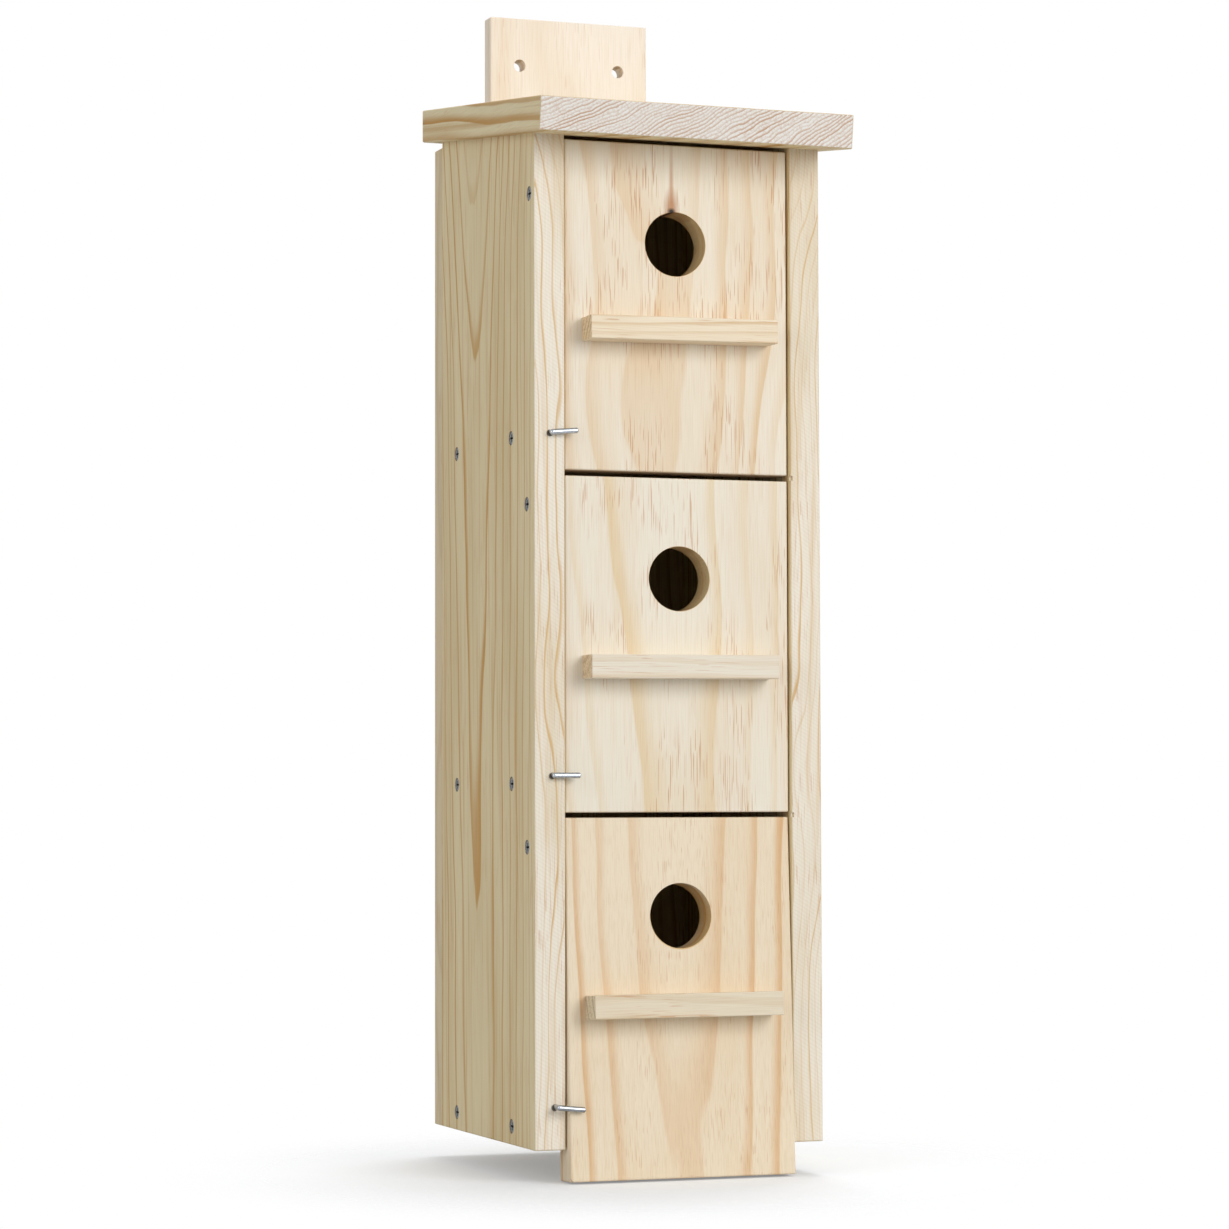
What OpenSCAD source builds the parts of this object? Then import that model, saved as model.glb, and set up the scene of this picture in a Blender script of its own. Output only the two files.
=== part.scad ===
// Three-storey sparrow nest box of unfinished pine, hung by a drilled board behind the roof.
// X runs across the front, Y towards the wall and Z up. The origin is on the wall, midway
// between the two hanging holes. Lists run from the bottom tier to the top one.

/* [Carcass] */
// Width across both side panels
box_w = 160; // [140:1:200]
// Depth from the front edges of the side panels to the rear of the back panel
box_d = 175; // [150:1:220]
// Thickness of each side panel
side_t = 17; // [14:0.5:22]
// Thickness of the back panel
back_t = 14; // [10:0.5:20]
// Thickness of each floor
floor_t = 17; // [12:0.5:20]
// Slack between the top of the back panel and the roof
back_top_gap = 2.8; // [0.5:0.1:4]
// Radius of the softened edges of the boards
arris = 1; // [0.5:0.1:1.5]

/* [Tiers] */
// Height of the bottom tier, up to the gap over its door
bottom_tier_h = 171.5; // [160:0.5:200]
// Height of the middle tier, from door gap to door gap
middle_tier_h = 177.7; // [165:0.5:205]
// Height of the top tier at the front, up to the roof
top_tier_h = 175.8; // [165:0.5:205]
// Height of the bottom floor's underside above the foot of the sides
bottom_floor_rise = 1.2; // [0:0.1:6]
// Height of the middle floor's underside above its tier's lower line
middle_floor_rise = 8; // [3:0.5:14]
// Height of the top floor's underside above its tier's lower line
top_floor_rise = 11.9; // [3:0.1:14]

/* [Roof] */
// Slope of the roof, falling to the front, in degrees
roof_slope = 7.7; // [4:0.1:12]
// Thickness of the roof board
roof_t = 18; // [14:0.5:24]
// Overhang at the front, along the slope
roof_front = 30; // [15:1:50]
// Overhang at each side
roof_side = 7; // [0:1:30]

/* [Doors] */
// Thickness of each door
door_t = 17; // [14:0.5:20]
// How far the doors sit back from the front edges of the sides
door_recess = 2.5; // [1:0.1:5]
// Play between a door and the side panel beside it
door_play = 0.75; // [0.5:0.05:2]
// Gap between one door and the next
door_gap = 3; // [2.5:0.1:5]
// Gap between the top door and the roof
roof_gap = 1.6; // [1.2:0.1:4]
// How far the bottom door hangs below the sides
door_drop = 16.7; // [5:0.1:30]
// Drop from a door's top edge to its hinge screws, on the lower two doors
hinge_drop = 14.8; // [12:0.1:20]
// Depth of those hinge screws behind the door's front face
hinge_inset = 9.3; // [7:0.1:9.5]
// Drop from the top door's upper edge to its hinge screws
top_hinge_drop = 28.9; // [20:0.1:40]
// Depth of the top door's hinge screws behind its front face
top_hinge_inset = 5; // [5:0.1:9]
// Angle at which the bottom door stands off its floor, in degrees
door_ajar = 2.7; // [0:0.1:4]

/* [Entrances and perches] */
// Diameter of the round entrances
entrance_d = 34; // [28:0.5:45]
// Drop from a door's top edge to the centre of its entrance
entrance_drop = 52; // [40:0.5:60]
// Drop from an entrance's centre to the middle of its perch
perch_drop = 46.4; // [38:0.1:60]
// Length of each perch
perch_l = 104; // [80:1:120]
// Height of each perch
perch_h = 12.3; // [9:0.1:20]
// How far each perch stands out from its door
perch_out = 15; // [12:0.5:25]

/* [Hooks] */
// Diameter of the hooks' wire
wire_d = 3; // [2:0.1:4]
// Length of a hook's arm from the axis of its pin
hook_arm = 14; // [12:0.5:20]
// Length of a hook's pin inside the wood
hook_pin = 20; // [12:1:28]
// Distance of a hook's pin from the outer face of the left side panel
hook_inset = 10.3; // [7:0.1:11]
// Height of a hook above its tier's lower line
hook_rise = 21; // [15:0.5:40]
// Clearance of the two upper hooks from the edge of the side panel
hook_air = 1.2; // [0.9:0.1:3]

/* [Hanging board] */
// Width of the hanging board
board_w = 94; // [70:1:120]
// Thickness of the hanging board
board_t = 11; // [8:0.5:18]
// Length of the hanging board
board_l = 200; // [160:5:400]
// Height of its top above the back panel
board_rise = 79; // [60:1:140]
// Drop from its top to the hanging holes
hang_drop = 27; // [15:1:32]
// Distance between the hanging holes
hang_spacing = 59; // [40:1:64]
// Diameter of the hanging holes
hang_d = 7; // [5:0.5:10]

/* [Screws] */
// Diameter of a screw's shank
screw_d = 3.8; // [3:0.1:4.5]
// Diameter of a screw's countersunk head
head_d = 7.6; // [6.5:0.1:9]
// Length of the long screws
screw_l = 40; // [36:1:45]
// Length of the short screws
short_l = 22; // [20:1:24]
// Distance from a perch's ends to its screws
perch_screw_end = 18; // [12:1:30]
// Distance from the ends of the back panel to its nearest screws
back_screw_end = 60; // [40:5:80]
// Distance from the roof's screws to the front and rear edges of the sides
roof_screw_end = 29; // [26:1:45]
// Distance from the hanging board's edges and lower end to its screws
board_screw_end = 18; // [15:1:24]
// Distance from the front edges of the sides to the front floor screws
floor_screw_front = 38; // [32:0.5:60]
// Distance from the front floor screws to the rear ones
floor_screw_spacing = 95.5; // [60:0.5:100]

/* [Hidden] */
$fn = 48;

BOTTOM = 0;
MIDDLE = 1;
TOP = 2;

// What the hand drill and the hand saw left, measured from the sizes above
entrance_off_x = [0.6, 1, -0.7];
entrance_off_z = [0.8, -0.7, -0.4];
perch_off_x = -0.7;
perch_turn = [0.2, 0.3, 0.55];
hook_off_x = [1.1, 0, -1];
hook_off_z = [1.2, -0.3, -0.7];
hook_turn = [-6, 0, 5];
floor_screw_off = [0, -0.5, 0];
nick = [1.3, 1.3, 2.4];
chip = 2.6;

// Colours
pine = "#ecdcc2";
pine_end = "#dcc8ab";
pine_shade = "#d6c7b2";
zinc = "#c9ccd0";

// Fits: round steel in wood, face to face wood that has to move, and overlap of a cut
fit = 0.05;
rest_gap = 0.3;
eps = 1;

// Heights, measured from the foot of the side panels
front_h = bottom_tier_h + middle_tier_h + top_tier_h;
tier_z = [0, bottom_tier_h, bottom_tier_h + middle_tier_h];
door_lo = [-door_drop, tier_z[MIDDLE] + door_gap / 2, tier_z[TOP] + door_gap / 2];
door_hi = [tier_z[MIDDLE] - door_gap / 2, tier_z[TOP] - door_gap / 2, front_h - roof_gap];
hinge_z = [
    door_hi[BOTTOM] - hinge_drop,
    door_hi[MIDDLE] - hinge_drop,
    door_hi[TOP] - top_hinge_drop,
];
floor_z = [
    bottom_floor_rise,
    tier_z[MIDDLE] + middle_floor_rise,
    tier_z[TOP] + top_floor_rise,
];
back_h = front_h + (box_d - back_t) * tan(roof_slope) - back_top_gap;
board_top = back_h + board_rise;
hang_z = board_top - hang_drop;

// Widths and depths, measured from the middle and from the front edges of the sides
inner_w = box_w - 2 * side_t;
door_w = inner_w - 2 * door_play;
side_d = box_d - back_t;
inset = [hinge_inset, hinge_inset, top_hinge_inset];
hinge_y = [for (i = inset) door_recess + i];
door_back = door_recess + door_t;

// The bottom floor reaches further forward, and the bottom door rests on its upper edge
ajar_reach = (hinge_z[BOTTOM] - floor_z[BOTTOM] - floor_t
    - (door_t - hinge_inset) * sin(door_ajar)) / cos(door_ajar);
ajar_back = hinge_y[BOTTOM] + (door_t - hinge_inset) * cos(door_ajar)
    - ajar_reach * sin(door_ajar);
floor_y = [ajar_back + rest_gap, door_back + rest_gap, door_back + rest_gap];

// The bottom hook stands out past the door that it holds, also with its arm turned down
hook_reach = hinge_z[BOTTOM] - hook_rise - hook_off_z[BOTTOM] + hook_arm;
ajar_front = hinge_y[BOTTOM] - hinge_inset * cos(door_ajar) - hook_reach * sin(door_ajar);
hook_out = [
    ceil(10 * (rest_gap - ajar_front + wire_d / 2)) / 10,
    hook_air + wire_d / 2,
    hook_air + wire_d / 2,
];

// Screw heads and points
head_h = 2.6;
head_rim = 0.5;
point_l = 7;
sunk = 0.4;
recess_w = 1;
recess_depth = 1.8;

// Places of the screws that fix the back, the roof, the board and the perches
edge_x = (box_w - side_t) / 2;
back_screw_z = [back_screw_end, front_h / 2, front_h - back_screw_end];
roof_screw_y = [roof_screw_end, side_d - roof_screw_end];
board_screw_x = board_w / 2 - board_screw_end;
board_screw_z = [board_top - board_l + board_screw_end, back_h - 2 * board_screw_end];
perch_screw_x = perch_l / 2 - perch_screw_end;

// The box as it hangs: the origin goes to the wall, between the hanging holes
module hung() translate([0, -box_d - board_t, -hang_z]) children();

// Flat outline with round corners
module round_rect(w, h, r) {
    translate([r, 0]) square([w - 2 * r, h]);
    translate([0, r]) square([w, h - 2 * r]);
    for (x = [r, w - r], y = [r, h - r]) translate([x, y]) circle(r);
}

// Sawn and sanded board with all its edges softened
module board(size, r = arris) {
    intersection() {
        linear_extrude(size.z) round_rect(size.x, size.y, r);
        translate([0, size.y, 0]) rotate([90, 0, 0])
            linear_extrude(size.y) round_rect(size.x, size.z, r);
        rotate([90, 0, 90])
            linear_extrude(size.x) round_rect(size.y, size.z, r);
    }
}

// Countersunk cross-head wood screw, its head at the origin and its point at +Z
module screw(l) {
    difference() {
        rotate_extrude() polygon([
            [0, 0], [head_d / 2, 0], [head_d / 2, head_rim], [screw_d / 2, head_h],
            [screw_d / 2, l - point_l], [0, l],
        ]);
        for (a = [0, 90]) rotate([0, 0, a])
            translate([-head_d * 0.28, -recess_w / 2, -eps])
                cube([head_d * 0.56, recess_w, recess_depth + eps]);
    }
}

// Hole that takes such a screw, open above its head
module screw_hole(l) {
    rotate_extrude() polygon([
        [0, -eps - sunk], [head_d / 2 + fit, -eps - sunk], [head_d / 2 + fit, head_rim],
        [screw_d / 2 + fit, head_h], [screw_d / 2 + fit, l - point_l], [0, l + fit],
    ]);
}

// Children placed with +Z pointing right into the left side panel, and left into the right one
module from_left(y, z) translate([-box_w / 2 + sunk, y, z]) rotate([0, 90, 0]) children();
module from_right(y, z) translate([box_w / 2 - sunk, y, z]) rotate([0, -90, 0]) children();
module from_both(y, z) {
    from_left(y, z) children();
    from_right(y, z) children();
}

// Children placed at the four screws of a floor
module at_floor(i) {
    for (dy = [0, floor_screw_spacing])
        from_both(floor_screw_front + floor_screw_off[i] + dy, floor_z[i] + floor_t / 2)
            children();
}

// Children placed at the two hinge screws of a door
module at_hinge(i) from_both(hinge_y[i], hinge_z[i]) children();

// Children placed at the screws of the back panel, pointing forwards
module at_back() {
    for (x = [-edge_x, edge_x], z = back_screw_z)
        translate([x, box_d - sunk, z]) rotate([90, 0, 0]) children();
}

// Children in the roof's own plane: Y along the slope from the front edges, Z square to it
module on_slope() translate([0, 0, front_h]) rotate([roof_slope, 0, 0]) children();

// Children placed at the screws of the roof, pointing down
module at_roof() {
    on_slope() for (x = [-edge_x, edge_x], y = roof_screw_y)
        translate([x, y, roof_t - sunk]) rotate([180, 0, 0]) children();
}

// Children placed at the screws of the hanging board, pointing forwards
module at_board() {
    for (x = [-board_screw_x, board_screw_x], z = board_screw_z)
        translate([x, box_d + board_t - sunk, z]) rotate([90, 0, 0]) children();
}

// Children placed at a hook's pin, with +Z pointing out of the wood
module at_hook(i) {
    translate([-box_w / 2 + hook_inset + hook_off_x[i], 0, tier_z[i] + hook_rise + hook_off_z[i]])
        rotate([90, 0, 0]) rotate([0, 0, hook_turn[i]]) children();
}

// Children turned about a door's hinge to where that door rests
module at_rest(i) {
    if (i == BOTTOM)
        translate([0, hinge_y[i], hinge_z[i]]) rotate([-door_ajar, 0, 0])
            translate([0, -hinge_y[i], -hinge_z[i]]) children();
    else children();
}

// Children at the middle of a perch, on the front face of its door
module at_perch(i) {
    translate([perch_off_x, door_recess, entrance_z(i) - perch_drop])
        rotate([0, -perch_turn[i], 0]) children();
}

// Children placed at the two screws that hold a perch from inside its door
module at_perch_screws(i) {
    at_perch(i) for (x = [-perch_screw_x, perch_screw_x])
        translate([x, door_t - sunk, 0]) rotate([90, 0, 0]) children();
}

function entrance_z(i) = door_hi[i] - entrance_drop + entrance_off_z[i];

// Side panel before drilling: upright board with a sloping top
module side_board() {
    difference() {
        board([side_t, side_d, front_h + side_d * tan(roof_slope) + 2 * arris]);
        on_slope() translate([-eps, -side_d, 0]) cube([side_t + 2 * eps, 3 * side_d, side_d]);
    }
}

module side_holes() {
    for (i = [BOTTOM, MIDDLE, TOP]) {
        at_floor(i) screw_hole(screw_l);
        at_hinge(i) screw_hole(screw_l);
    }
    at_back() screw_hole(screw_l);
    at_roof() screw_hole(screw_l);
}

// Left side panel, with the hooks' holes in its front edge
module left_side() hung() color(pine_shade) {
    difference() {
        translate([-box_w / 2, 0, 0]) side_board();
        side_holes();
        for (i = [BOTTOM, MIDDLE, TOP]) at_hook(i)
            translate([0, 0, -hook_pin - fit]) cylinder(d = wire_d + 2 * fit, h = hook_pin + eps);
    }
}

// Right side panel, nicked by the saw that parted the doors
module right_side() hung() color(pine_shade) {
    difference() {
        translate([box_w / 2 - side_t, 0, 0]) side_board();
        side_holes();
        for (i = [MIDDLE, TOP])
            translate([inner_w / 2 - eps, -eps, tier_z[i] - nick.z / 2])
                cube([nick.x + eps, nick.y + eps, nick.z]);
    }
}

module back_panel() hung() color(pine) {
    difference() {
        translate([-box_w / 2, side_d, 0]) board([box_w, back_t, back_h]);
        at_back() screw_hole(screw_l);
        at_board() screw_hole(short_l);
    }
}

// Roof board, cut upright at the back
module roof() hung() color(pine_end) {
    roof_l = roof_front + box_d / cos(roof_slope) + roof_t;
    difference() {
        on_slope() translate([-box_w / 2 - roof_side, -roof_front, 0])
            board([box_w + 2 * roof_side, roof_l, roof_t]);
        translate([-box_w, box_d, front_h - box_d])
            cube([2 * box_w, box_d, 3 * box_d]);
        at_roof() screw_hole(screw_l);
    }
}

// Hanging board, screwed to the back panel and drilled for two wall screws
module hanging_board() hung() color(pine) {
    difference() {
        translate([-board_w / 2, box_d, board_top - board_l]) board([board_w, board_t, board_l]);
        for (x = [-hang_spacing / 2, hang_spacing / 2])
            translate([x, box_d + board_t + eps, hang_z]) rotate([90, 0, 0])
                cylinder(d = hang_d, h = board_t + 2 * eps);
        at_board() screw_hole(short_l);
    }
}

module nest_floor(i) hung() color(pine_shade) {
    difference() {
        translate([-inner_w / 2, floor_y[i], floor_z[i]])
            board([inner_w, side_d - floor_y[i], floor_t]);
        at_floor(i) screw_hole(screw_l);
    }
}

module door(i) hung() at_rest(i) color(pine) {
    difference() {
        translate([-door_w / 2, door_recess, door_lo[i]])
            board([door_w, door_t, door_hi[i] - door_lo[i]]);
        translate([entrance_off_x[i], door_recess - eps, entrance_z(i)]) rotate([-90, 0, 0])
            cylinder(d = entrance_d, h = door_t + 2 * eps);
        at_hinge(i) screw_hole(screw_l);
        at_perch_screws(i) screw_hole(short_l);
        if (i == BOTTOM)
            translate([-door_w / 2, door_recess, door_lo[i]]) rotate([0, 45, 0])
                cube([chip, 2 * chip, chip], center = true);
    }
}

module perch(i) hung() at_rest(i) color(pine) {
    difference() {
        at_perch(i) translate([-perch_l / 2, -perch_out, -perch_h / 2])
            board([perch_l, perch_out, perch_h], arris / 2);
        at_perch_screws(i) screw_hole(short_l);
    }
}

// Screw hook of round wire: pin in the wood, and arm turned square to it across the door
module hook(i) hung() at_hook(i) color(zinc) {
    rotate_extrude() polygon([
        [0, -hook_pin], [wire_d / 6, -hook_pin], [wire_d / 2, wire_d - hook_pin],
        [wire_d / 2, hook_out[i]], [0, hook_out[i]],
    ]);
    translate([0, 0, hook_out[i]]) {
        sphere(d = wire_d);
        rotate([0, 90, 0]) rotate_extrude() polygon([
            [0, 0], [wire_d / 2, 0], [wire_d / 2, hook_arm - wire_d / 5],
            [wire_d * 0.3, hook_arm], [0, hook_arm],
        ]);
    }
}

module hinge_screws(i) hung() at_rest(i) color(zinc) at_hinge(i) screw(screw_l);
module perch_screws(i) hung() at_rest(i) color(zinc) at_perch_screws(i) screw(short_l);
module floor_screws(i) hung() color(zinc) at_floor(i) screw(screw_l);
module roof_screws() hung() color(zinc) at_roof() screw(screw_l);
module back_screws() hung() color(zinc) at_back() screw(screw_l);
module board_screws() hung() color(zinc) at_board() screw(short_l);

left_side();
right_side();
back_panel();
roof();
hanging_board();
nest_floor(BOTTOM);  // bottom_floor
nest_floor(MIDDLE);  // middle_floor
nest_floor(TOP);  // top_floor
door(BOTTOM);  // bottom_door
door(MIDDLE);  // middle_door
door(TOP);  // top_door
perch(BOTTOM);  // bottom_perch
perch(MIDDLE);  // middle_perch
perch(TOP);  // top_perch
hook(BOTTOM);  // bottom_hook
hook(MIDDLE);  // middle_hook
hook(TOP);  // top_hook
hinge_screws(BOTTOM);  // bottom_hinge_screws
hinge_screws(MIDDLE);  // middle_hinge_screws
hinge_screws(TOP);  // top_hinge_screws
perch_screws(BOTTOM);  // bottom_perch_screws
perch_screws(MIDDLE);  // middle_perch_screws
perch_screws(TOP);  // top_perch_screws
floor_screws(BOTTOM);  // bottom_floor_screws
floor_screws(MIDDLE);  // middle_floor_screws
floor_screws(TOP);  // top_floor_screws
roof_screws();
back_screws();
board_screws();
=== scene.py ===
import math

import bpy
from mathutils import Euler, Matrix, Vector


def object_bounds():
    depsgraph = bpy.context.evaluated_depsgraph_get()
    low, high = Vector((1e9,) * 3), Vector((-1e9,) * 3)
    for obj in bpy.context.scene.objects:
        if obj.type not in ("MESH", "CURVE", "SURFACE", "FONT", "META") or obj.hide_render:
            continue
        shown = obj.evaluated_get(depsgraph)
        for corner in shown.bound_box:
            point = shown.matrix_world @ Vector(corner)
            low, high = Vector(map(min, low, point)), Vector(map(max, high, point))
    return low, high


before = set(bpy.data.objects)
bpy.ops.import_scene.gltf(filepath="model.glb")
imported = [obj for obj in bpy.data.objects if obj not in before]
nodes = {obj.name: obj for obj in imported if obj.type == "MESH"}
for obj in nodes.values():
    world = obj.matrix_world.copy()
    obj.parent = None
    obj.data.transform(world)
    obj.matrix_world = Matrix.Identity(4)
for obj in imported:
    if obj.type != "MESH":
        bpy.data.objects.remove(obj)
cad_bounds = [list(map(float, corner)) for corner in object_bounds()]

# Camera.
# The nest box is seen from its left and a little below its middle, through a long lens.
# Distances are in metres from the origin on the wall, angles in degrees.
VIEW_FROM = (-0.69497, -2.02150, -0.41647)
VIEW_YAW = 19.75
VIEW_PITCH = 2.8227
VIEW_ROLL = -0.1325
SENSOR = 36.0
FOCAL_PIXELS = 3761.1359
FRAME_PIXELS = 1229
LENS = FOCAL_PIXELS / FRAME_PIXELS * SENSOR

yaw, pitch, roll = map(math.radians, (VIEW_YAW, VIEW_PITCH, VIEW_ROLL))
ahead = Vector((math.sin(yaw) * math.cos(pitch), math.cos(yaw) * math.cos(pitch), math.sin(pitch)))
level = Vector((math.cos(yaw), -math.sin(yaw), 0))
above = level.cross(ahead)
right = math.cos(roll) * level + math.sin(roll) * above
up = -math.sin(roll) * level + math.cos(roll) * above

camera_data = bpy.data.cameras.new("camera")
camera_data.sensor_width = SENSOR
camera_data.sensor_fit = "HORIZONTAL"
camera_data.lens = LENS
camera = bpy.data.objects.new("camera", camera_data)
facing_box = Matrix((right, up, -ahead)).transposed().to_4x4()
camera.matrix_world = Matrix.Translation(VIEW_FROM) @ facing_box
bpy.context.collection.objects.link(camera)
bpy.context.scene.camera = camera
bpy.context.scene.view_settings.view_transform = "Standard"


# Side panels. Two upright boards of radiata pine, 17 mm thick, that carry every other piece on
# screws. Their broad faces are planed, with thin orange-brown late wood on a yellowish ground
# that is darker than the front edges: partly the planed wood, partly painted shade for the
# shaded left face. Their front edges are fresh from the saw and paler, with the slanting marks
# of its teeth.


def add(tree, kind, inputs, give=0, **settings):
    """Adds a node with its settings and links, and gives one of its outputs."""
    node = tree.nodes.new("ShaderNode" + kind)
    for name, value in settings.items():
        setattr(node, name, value)
    for place, value in inputs.items():
        if isinstance(value, bpy.types.NodeSocket):
            tree.links.new(value, node.inputs[place])
        else:
            node.inputs[place].default_value = value
    return node.outputs[give]


def linear(hex_colour):
    """Turns an sRGB hex colour into Blender's linear colour."""
    parts = [int(hex_colour[i:i + 2], 16) / 255 for i in (1, 3, 5)]
    return [c / 12.92 if c <= 0.04045 else ((c + 0.055) / 1.055) ** 2.4 for c in parts] + [1]


def pine(name, along, pith, lean=(0, 0), ring=5.0, early="#EBDDC4", late="#D3B283", depth=0.7,
         soft=0.5, wander=5.0, seed=0.0, flecks=0.5, streaks=0.08, ripple=2.2, closer=1.0,
         warm="#E6C79D", warmth=0.25, end="#D8C5AB", end_late="#BFA079", flare=None, sawn=None,
         extra=None):
    """Planed radiata pine, unfinished: matt, with wide pale early wood and thin late wood.

    The growth rings are cylinders about the tree's pith, a line through `pith` (mm, in the
    frame) that leans by `lean` degrees from the `along` axis, so that each face of a board
    shows its own cut through the same rings: straight lines, arches, or arcs on end grain.
    A `ring` is one year's growth in mm. `depth` is how strong the late wood shows, `soft` how
    gently it sets in, and `wander` and `ripple` are how far, in mm, the rings stray.
    """
    material = bpy.data.materials.new(name)
    material.use_nodes = True
    tree = material.node_tree
    shader = tree.nodes["Principled BSDF"]
    place = add(tree, "TexCoord", {}, "Object")
    normal = add(tree, "TexCoord", {}, "Normal")

    # place in the tree, in mm: Z runs along the fibres, and the pith is at X = Y = 0
    upright = {"x": (0, -90, 0), "y": (90, 0, 0), "z": (0, 0, 0)}[along]
    upright = Euler(map(math.radians, upright)).to_matrix()
    turn = Euler(map(math.radians, (*lean, 0))).to_matrix() @ upright
    wood = add(tree, "Mapping", {"Vector": place, "Location": -(turn @ Vector(pith)),
                                 "Rotation": turn.to_euler(), "Scale": (1000, 1000, 1000)})
    board = add(tree, "Mapping", {"Vector": place, "Rotation": upright.to_euler(),
                                  "Scale": (1000, 1000, 1000)})

    # one noise for each size of grain: mm across the fibres and along them, detail, roughness
    grain = {}
    for what, space, across, length, detail, roughness, shift in (
            ("bend", wood, 90, 260, 2, 0.5, 0), ("ripple", wood, 14, 90, 2, 0.5, 7),
            ("patch", wood, 40, 160, 2, 0.5, 3), ("tone", wood, 35, 220, 3, 0.5, 11),
            ("streak", wood, 3.2, 190, 2, 0.5, 41), ("fibre", board, 0.5, 26, 2, 0.6, 0),
            ("stroke", board, 0.55, 16, 0, 0.5, 23), ("group", board, 22, 60, 2, 0.5, 31)):
        spot = add(tree, "VectorMath", {0: space, 1: (1 / across, 1 / across, 1 / length),
                                        2: (seed + shift,) * 3}, operation="MULTIPLY_ADD")
        grain[what] = add(tree, "TexNoise", {"Vector": spot, "Scale": 1.0, "Detail": detail,
                                             "Roughness": roughness}, "Fac")

    # the trunk isn't quite round or straight, and it swells where a branch left it
    trunk = wood
    for what, sway in (("bend", wander * 4), ("ripple", ripple)):
        off = add(tree, "VectorMath", {0: grain[what].node.outputs["Color"], 1: (0.5, 0.5, 0.5)},
                  operation="SUBTRACT")
        trunk = add(tree, "VectorMath", {0: off, 1: (sway, sway, 0), 2: trunk},
                    operation="MULTIPLY_ADD")
    trunk = add(tree, "VectorMath", {0: trunk, 1: (1, 1, 0)}, operation="MULTIPLY")
    radius = add(tree, "VectorMath", {0: trunk}, "Value", operation="LENGTH")
    if flare:
        swell, reach, height = flare
        rise = add(tree, "SeparateXYZ", {0: wood}, "Z")
        rise = add(tree, "Math", {0: rise, 1: 1 / reach, 2: -height / reach},
                   operation="MULTIPLY_ADD")
        rise = add(tree, "Math", {0: rise}, operation="EXPONENT")
        radius = add(tree, "Math", {0: rise, 1: -swell, 2: radius}, operation="MULTIPLY_ADD")
    age = add(tree, "Math", {0: radius, 1: ring}, operation="DIVIDE")

    early_wood, late_wood = linear(early), linear(late)
    # the front faces cut the rings at another angle, so that they lie closer there
    facing = add(tree, "VectorMath", {0: normal, 1: (0, 1, 0)}, "Value", operation="DOT_PRODUCT")
    facing = add(tree, "Math", {0: facing}, operation="ABSOLUTE")
    facing = add(tree, "MapRange", {0: facing, 1: 0.6, 2: 0.9}, interpolation_type="SMOOTHSTEP")
    crowd = add(tree, "MapRange", {0: facing, 3: 1.0, 4: closer})
    age = add(tree, "Math", {0: age, 1: crowd}, operation="MULTIPLY")
    if sawn:
        across = add(tree, "VectorMath", {0: place, 1: (0.6, 0, 1)}, operation="MULTIPLY")
        # a scale of 300 sets the saw's tooth marks 2.1 mm apart
        teeth = add(tree, "TexWave", {"Vector": across, "Scale": 300.0, "Distortion": 3.0,
                                      "Detail Scale": 0.3}, "Fac", bands_direction="DIAGONAL")
        teeth = add(tree, "MapRange", {0: teeth, 1: 0.0, 2: 0.6, 3: 0.13, 4: 0.0})
        sawn_early, sawn_late, sawn_mark = map(linear, sawn)
        sawn_wood = add(tree, "Mix", {0: teeth, 6: sawn_early, 7: sawn_mark}, 2, data_type="RGBA")
        early_wood = add(tree, "Mix", {0: facing, 6: early_wood, 7: sawn_wood}, 2,
                         data_type="RGBA")
        late_wood = add(tree, "Mix", {0: facing, 6: late_wood, 7: sawn_late}, 2,
                        data_type="RGBA")

    # each year: early wood, then denser late wood that ends sharply; some years are stronger
    year = add(tree, "Math", {0: age}, operation="FRACT")
    thicker = add(tree, "MapRange", {0: year, 1: 0.8 - 0.6 * soft, 2: 0.95},
                  interpolation_type="SMOOTHSTEP")
    stops = add(tree, "MapRange", {0: year, 1: 0.97, 2: 1.0, 3: 1.0, 4: 0.35 * soft})
    begins = add(tree, "MapRange", {0: year, 1: 0.0, 2: 0.06, 3: 0.35 * soft, 4: 0.0})
    late_share = add(tree, "Math", {0: thicker, 1: stops}, operation="MULTIPLY")
    late_share = add(tree, "Math", {0: late_share, 1: begins}, operation="MAXIMUM")
    number = add(tree, "Math", {0: age}, operation="FLOOR")
    number = add(tree, "Math", {0: number, 1: seed}, operation="ADD")
    strength = add(tree, "TexWhiteNoise", {"W": number}, "Value", noise_dimensions="1D")
    strength = add(tree, "MapRange", {0: strength, 3: 0.3, 4: 1.0})
    patchy = add(tree, "MapRange", {0: grain["patch"], 1: 0.3, 2: 0.7, 3: 0.55 * depth, 4: depth})
    for part in (strength, patchy):
        late_share = add(tree, "Math", {0: late_share, 1: part}, operation="MULTIPLY",
                         use_clamp=True)

    # slow changes of tone under the rings, and the fine fibres over them
    tone = add(tree, "MapRange", {0: grain["tone"], 1: 0.42, 2: 0.68, 4: warmth},
               interpolation_type="SMOOTHSTEP")
    base = add(tree, "Mix", {0: tone, 6: early_wood, 7: linear(warm)}, 2, data_type="RGBA")
    streaky = add(tree, "MapRange", {0: grain["streak"], 1: 0.54, 2: 0.72, 4: streaks})
    base = add(tree, "Mix", {0: streaky, 6: base, 7: late_wood}, 2, data_type="RGBA")
    base = add(tree, "Mix", {0: late_share, 6: base, 7: late_wood}, 2, data_type="RGBA")
    fibres = add(tree, "MapRange", {0: grain["fibre"], 1: 0.3, 2: 0.55, 3: 0.25, 4: 0.0})
    base = add(tree, "Mix", {0: fibres, 6: base, 7: linear("#DCC7A6")}, 2,
               data_type="RGBA", blend_type="MULTIPLY")

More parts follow.
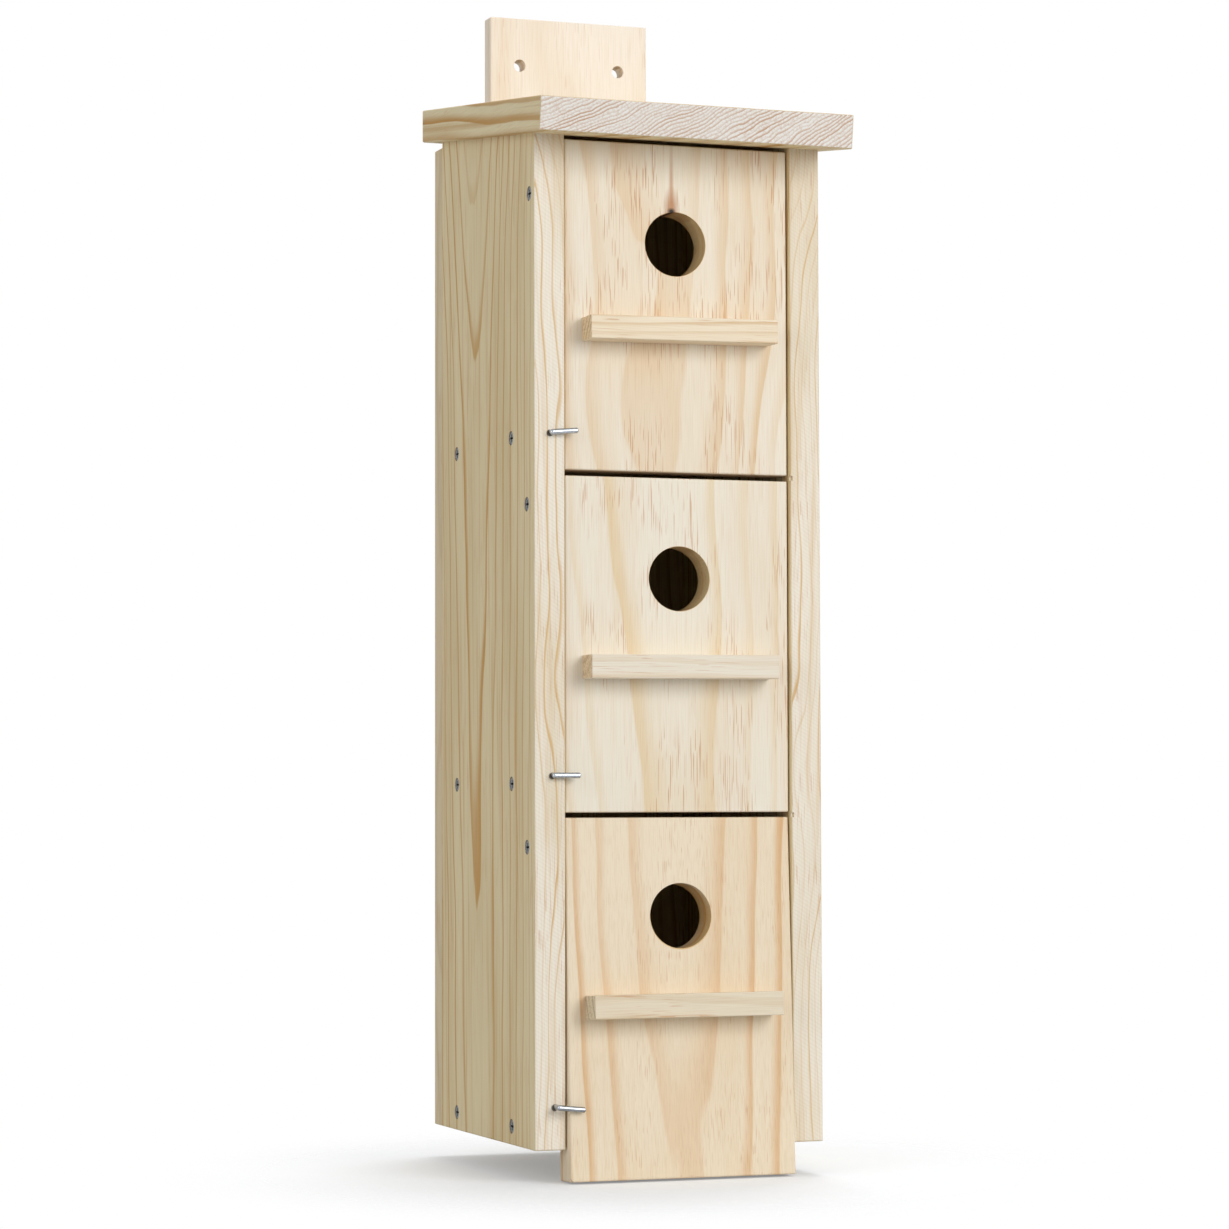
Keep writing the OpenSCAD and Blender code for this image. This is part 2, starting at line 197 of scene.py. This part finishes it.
    # resin canals cut lengthways show as short thin reddish strokes, in loose groups
    strokes = add(tree, "MapRange", {0: grain["stroke"], 1: 0.66, 2: 0.72})
    groups = add(tree, "MapRange", {0: grain["group"], 1: 0.44, 2: 0.58, 4: flecks},
                 interpolation_type="SMOOTHSTEP")
    strokes = add(tree, "Math", {0: strokes, 1: groups}, operation="MULTIPLY", use_clamp=True)
    base = add(tree, "Mix", {0: strokes, 6: base, 7: linear("#C4874E")}, 2, data_type="RGBA")

    # end grain is darker and speckled
    ends = {"x": (1, 0, 0), "y": (0, 1, 0), "z": (0, 0, 1)}[along]
    ends = add(tree, "VectorMath", {0: normal, 1: ends}, "Value", operation="DOT_PRODUCT")
    ends = add(tree, "Math", {0: ends}, operation="ABSOLUTE")
    ends = add(tree, "MapRange", {0: ends, 1: 0.75, 2: 0.92}, interpolation_type="SMOOTHSTEP")
    # cut fibres are 0.03 mm wide; they are drawn about 1 mm wide, as coarse as shows
    speckle = add(tree, "TexNoise", {"Vector": place, "Scale": 900.0, "Detail": 2.0,
                                     "Roughness": 0.7}, "Fac")
    speckle = add(tree, "MapRange", {0: speckle, 1: 0.36, 2: 0.54, 3: 0.4, 4: 0.0})
    cut = add(tree, "Mix", {0: late_share, 6: linear(end), 7: linear(end_late)}, 2,
              data_type="RGBA")
    cut = add(tree, "Mix", {0: speckle, 6: cut, 7: linear(end_late)}, 2, data_type="RGBA")
    base = add(tree, "Mix", {0: ends, 6: base, 7: cut}, 2, data_type="RGBA")
    if extra:
        base = extra(tree, place, base)
    tree.links.new(base, shader.inputs["Base Color"])
    # bare planed wood: a broad dull sheen and no gloss
    shader.inputs["Roughness"].default_value = 0.62
    shader.inputs["IOR"].default_value = 1.45

    # the planer leaves late wood a little proud, and the fibres a fine tooth
    relief = add(tree, "Math", {0: grain["fibre"], 1: 0.35, 2: late_share},
                 operation="MULTIPLY_ADD")
    bump = add(tree, "Bump", {"Height": relief, "Distance": 0.00012, "Strength": 0.6})
    tree.links.new(bump, shader.inputs["Normal"])
    return material


def finish(node, material):
    """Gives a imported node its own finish."""
    for slot in nodes[node].material_slots:
        slot.material = material


def from_spot(tree, place, across, height, wide=1.0, tall=1.0):
    """Gives how far a point lies from a spot on the front, as seen from the front."""
    off = add(tree, "VectorMath", {0: place, 1: (across, 0, height)}, operation="SUBTRACT")
    off = add(tree, "VectorMath", {0: off, 1: (1 / wide, 0, 1 / tall)}, operation="MULTIPLY")
    return add(tree, "VectorMath", {0: off}, "Value", operation="LENGTH")


# where the hooks' pins go in: metres across the front, and height
HOOK_PINS = ((-0.0686, -0.5738), (-0.0697, -0.4038), (-0.0707, -0.2265))
WIRE_R = 0.0015
SHADE_RING_R = 0.0020


def painted_pin_shade(tree, place, base):
    """Adds painted shade: a dark ring round each hook's pin, where it goes into the wood."""
    for across, height in HOOK_PINS:
        # painted shade, set a little to the left of and below the pin
        off = from_spot(tree, place, across - 0.0006, height - 0.0003)
        ring_shade = add(tree, "MapRange", {0: off, 1: WIRE_R, 2: SHADE_RING_R, 3: 0.85, 4: 0.0})
        base = add(tree, "Mix", {0: ring_shade, 6: base, 7: linear("#2E241B")}, 2, data_type="RGBA")
    return base


# the broad faces' colours are darker and yellower than the sawn front colours: part of that is
# painted shade, for the shaded left face
SIDE = dict(along="z", early="#E7D7AD", late="#C4954A", depth=1.5, soft=0.05,
            warm="#D3BC8A", warmth=0.5, flecks=0.35, streaks=0.45, closer=5.0,
            end="#CDBD9F", sawn=("#F4ECDD", "#DCBA86", "#CBB896"))
finish("left_side", pine("planed pine, left side", pith=(-41.4, -89, -300), lean=(0.8, 1.15),
                         ring=8.8, wander=4, seed=2.0, flare=(18, 70, 280),
                         extra=painted_pin_shade, **SIDE))
finish("right_side", pine("planed pine, right side", pith=(35, -100, -300), lean=(-0.6, -1.0),
                          ring=8.0, wander=6, seed=5.0, **SIDE))

# Back panel. One 14 mm board of the same pine behind both sides, screwed to their rear edges.
# It is planed too, a little darker, with narrower rings.
finish("back_panel", pine("planed pine, back", along="z", pith=(15, -52, -300),
                          lean=(0.7, 0.3), ring=5.5, early="#DCCCA8", late="#B5986A",
                          depth=0.8, seed=9.0, wander=8))

# Floors. Three 17 mm boards of planed pine between the sides, screwed through them, and
# hidden behind the doors until those are lifted. One finish serves all three.
FLOOR = pine("planed pine, floors", along="x", pith=(0, -120, -700), lean=(0.4, 0.5),
             ring=4.5, early="#E4D5B8", late="#C7A575", depth=0.7, seed=13.0)
for level_name in ("bottom_floor", "middle_floor", "top_floor"):
    finish(level_name, FLOOR)

# Roof. A pine board 18 mm thick, screwed down on the sides, that slopes to the front. Its
# fibres run to the front too, so the long front edge is rough sawn end grain, pinkish grey
# with slanting rings.
finish("roof", pine("planed pine, roof", along="y", pith=(-175, -90, 270), lean=(-7.7, 0.1),
                    ring=8.6, early="#E6D8B0", late="#B88838",
                    depth=1.4, soft=0.8, wander=5, ripple=5.0,
                    streaks=0.55, closer=4.5, seed=17.0,
                    end="#EBE9E3", end_late="#C0997A", flecks=0.2))

# Hanging board. A thin pine board, 11 mm, screwed to the back. It stands above the roof with
# two drilled holes, and is the palest piece, with faint broad rings.
finish("hanging_board", pine("planed pine, hanging board", along="z", pith=(10, 160, -60),
                             lean=(0.2, 0.3), ring=7.5, early="#FAF1E4", late="#E9CFA8",
                             depth=0.7, soft=0.9, seed=21.0, wander=4, flecks=0.2))

# Doors. Three pieces of one 17 mm pine board, parted with a hand saw and bored 34 mm for the
# birds. They swing on a screw through each side panel. The board is pale and creamy, with
# wide soft bands and short reddish strokes.
ENTRANCES = {"top": (-0.0007, -0.1250), "middle": (0.001, -0.3010), "bottom": (0.0006, -0.4771)}
ENTRANCE_R = 0.0170
KNOT = (-0.0028, -0.1076)


def bored(level, before=None):
    """Gives the wall of an entrance a darker, yellower colour: partly the drill's rough cut,
    partly painted shade inside the bore.
    """
    def drilled_and_shaded(tree, place, base):
        off = from_spot(tree, place, *ENTRANCES[level])
        # the bore's wall: the drill's cut, darkened further as painted shade
        inside = add(tree, "MapRange", {0: off, 1: ENTRANCE_R, 2: ENTRANCE_R + 0.0003,
                                        3: 1.0, 4: 0.0})
        base = add(tree, "Mix", {0: inside, 6: base, 7: linear("#F0DEB8")}, 2, data_type="RGBA",
                   blend_type="MULTIPLY")
        return before(tree, place, base) if before else base
    return drilled_and_shaded


def pin_knot(tree, place, base):
    """Adds the black pin knot at the top of the entrance, and the red-brown wood above it."""
    for wide, tall, rise, share, colour in ((0.0052, 0.0130, 0.001, 0.75, "#B47845"),
                                            (0.0016, 0.0270, 0.012, 0.6, "#BC824F"),
                                            (0.0027, 0.0021, 0.0, 1.0, "#140C07")):
        off = from_spot(tree, place, KNOT[0], KNOT[1] + rise, wide, tall)
        off = add(tree, "MapRange", {0: off, 1: 0.3, 2: 1.0, 3: share, 4: 0.0})
        base = add(tree, "Mix", {0: off, 6: base, 7: linear(colour)}, 2, data_type="RGBA")
    return base


finish("top_door", pine("planed pine, top door", along="z", pith=(-8, -135, -270),
                        lean=(-5.5, 0.8), ring=10.5, early="#F3EAD8", late="#DFB880",
                        depth=0.8, soft=0.7, wander=14, seed=31.0, flecks=0.65,
                        extra=bored("top", pin_knot)))
finish("middle_door", pine("planed pine, middle door", along="z", pith=(-3, -123.5, -245),
                           lean=(-1.5, 0.4), ring=9.7, early="#F2EAD9", late="#E3C388",
                           depth=0.6, soft=0.35, wander=5, seed=37.0, flecks=0.6,
                           extra=bored("middle")))
finish("bottom_door", pine("planed pine, bottom door", along="z", pith=(0, -133.5, -520),
                           lean=(0.3, 0.2), ring=9.6, early="#F1E2C8", late="#D7A15C",
                           depth=1.15, soft=0.35, wander=4, seed=41.0, flecks=0.3,
                           extra=bored("bottom")))

# Perches. Planed pine strips, 12 x 15 mm, one under each entrance, screwed on from inside the
# door. They have crisp edges, and darker end grain where the saw went through.
finish("top_perch", pine("planed pine, top perch", along="x", pith=(0, -215, -190),
                         lean=(0.8, 0.5), ring=4.0, early="#F5E8CF", late="#D0A468",
                         depth=0.95, seed=51.0, end="#F0D8B2",
                         end_late="#8F6A3C"))
finish("middle_perch", pine("planed pine, middle perch", along="x", pith=(0, -180, -330),
                            lean=(0.3, 0.5), ring=6.0, early="#EFE6D5", late="#D6B888",
                            depth=0.8, seed=57.0, end="#EBD5B2",
                            end_late="#8F6A3C", flecks=0.5))
finish("bottom_perch", pine("planed pine, bottom perch", along="x", pith=(-20, -240, -500),
                            lean=(1.5, 2.0), ring=5.0, early="#EAE0CA", late="#C8AB79",
                            depth=0.9, seed=61.0, end="#E2D3B6",
                            end_late="#94784E"))

# Screws and hooks. Cross-head wood screws, sunk flush into the boards, and hooks bent from
# 3 mm wire and screwed into the left side's front edge, all of steel plated with zinc. The
# screws are given a darker grey than the hooks, as painted shade for their recesses, and the
# hooks shine nearly white.


def zinc_plated(name, dull, bright, smooth, rough):
    """Electroplated zinc on steel: a clear metal shine that clouds over in small patches."""
    zinc = bpy.data.materials.new(name)
    zinc.use_nodes = True
    tree = zinc.node_tree
    shader = tree.nodes["Principled BSDF"]
    place = add(tree, "TexCoord", {}, "Object")
    cloud = add(tree, "TexNoise", {"Vector": place, "Scale": 700.0, "Detail": 3.0}, "Fac")
    plating = add(tree, "Mix", {0: cloud, 6: linear(dull), 7: linear(bright)}, 2, data_type="RGBA")
    tree.links.new(plating, shader.inputs["Base Color"])
    sheen = add(tree, "MapRange", {0: cloud, 1: 0.3, 2: 0.7, 3: smooth, 4: rough})
    tree.links.new(sheen, shader.inputs["Roughness"])
    shader.inputs["Metallic"].default_value = 1.0
    return zinc


# the screws' darker greys are painted shade, for the recesses they sit in
SCREW_STEEL_SHADED = zinc_plated("zinc-plated steel with painted shade, screws", "#4A4D52", "#7E8287", 0.25, 0.45)
HOOK_STEEL = zinc_plated("bright zinc-plated steel, hooks", "#7E848C", "#C8CDD3", 0.08, 0.2)
for name in nodes:
    if name.endswith("screws"):
        finish(name, SCREW_STEEL_SHADED)
    if name.endswith("hook"):
        finish(name, HOOK_STEEL)

# Studio. A sheet of white paper under the box that fades into the white surround, with one
# large soft lamp at the front right, a weaker one at the left and one overhead.
FLOOR_Z = min(corner[2] for corner in cad_bounds) - 0.0005
FLOOR_HALF = 1.5

floor_mesh = bpy.data.meshes.new("studio_floor")
floor_corners = [(x * FLOOR_HALF, y * FLOOR_HALF, FLOOR_Z)
                 for x, y in ((-1, -1), (1, -1), (1, 1), (-1, 1))]
floor_mesh.from_pydata(floor_corners, [], [(0, 1, 2, 3)])
floor = bpy.data.objects.new("studio_floor", floor_mesh)
bpy.context.collection.objects.link(floor)
# White paper is matt, so the box's shadow lies on it without any mirror image.
paper = bpy.data.materials.new("white paper")
paper.use_nodes = True
paper_tree = paper.node_tree
paper_shader = paper_tree.nodes["Principled BSDF"]
paper_shader.inputs["Base Color"].default_value = linear("#DCDFE2")
paper_shader.inputs["Roughness"].default_value = 0.9
paper_place = add(paper_tree, "TexCoord", {}, "Object")
# the paper fades out between these distances, in metres, from the middle of the box
FADE_FROM, FADE_TO = 0.09, 0.27
reach = add(paper_tree, "VectorMath", {0: paper_place, 1: (0, 0.13, 0)}, operation="ADD")
reach = add(paper_tree, "VectorMath", {0: reach, 1: (1, 1, 0)}, operation="MULTIPLY")
reach = add(paper_tree, "VectorMath", {0: reach}, "Value", operation="LENGTH")
reach = add(paper_tree, "MapRange", {0: reach, 1: FADE_FROM, 2: FADE_TO},
            interpolation_type="SMOOTHSTEP")
paper_seen = add(paper_tree, "LightPath", {}, "Is Camera Ray")
paper_seen = add(paper_tree, "Math", {0: paper_seen, 1: 0.24}, operation="MULTIPLY")
glow = add(paper_tree, "Emission", {"Color": (1, 1, 1, 1), "Strength": paper_seen})
lit = add(paper_tree, "AddShader", {0: paper_shader.outputs[0], 1: glow})
clear = add(paper_tree, "BsdfTransparent", {})
fade = add(paper_tree, "MixShader", {0: reach, 1: lit, 2: clear})
paper_tree.links.new(fade, paper_tree.nodes["Material Output"].inputs["Surface"])
floor_mesh.materials.append(paper)

world = bpy.data.worlds.new("white studio")
bpy.context.scene.world = world
world.use_nodes = True
sky = world.node_tree
seen = add(sky, "LightPath", {}, "Is Camera Ray")
for kind_of_ray in ("Is Glossy Ray", "Is Transmission Ray"):
    ray = add(sky, "LightPath", {}, kind_of_ray)
    seen = add(sky, "Math", {0: seen, 1: ray}, operation="MAXIMUM")
ambient = sky.nodes["Background"]
ambient.inputs["Color"].default_value = (1, 1, 1, 1)
ambient.inputs["Strength"].default_value = 0.42
backdrop = add(sky, "Background", {"Color": (1, 1, 1, 1), "Strength": 1.0})
surround = add(sky, "MixShader", {0: seen, 1: ambient.outputs[0], 2: backdrop})
sky.links.new(surround, sky.nodes["World Output"].inputs["Surface"])

# each lamp: its place from the middle of the box and its width in metres, and its watts
CENTRE = Vector((0, -0.09, -0.3))
for name, offset, size, power in (("key softbox", (0.9, -2.0, 0.7), 1.3, 27.0),
                                  ("fill softbox", (-1.9, -0.9, 0.5), 1.4, 8.5),
                                  ("top softbox", (0.7, 1.3, 3.0), 1.6, 48.0)):
    lamp_data = bpy.data.lights.new(name, "AREA")
    lamp_data.shape = "SQUARE"
    lamp_data.size = size
    lamp_data.energy = power
    lamp = bpy.data.objects.new(name, lamp_data)
    lamp.location = CENTRE + Vector(offset)
    lamp.rotation_euler = (-Vector(offset)).to_track_quat("-Z", "Y").to_euler()
    bpy.context.collection.objects.link(lamp)
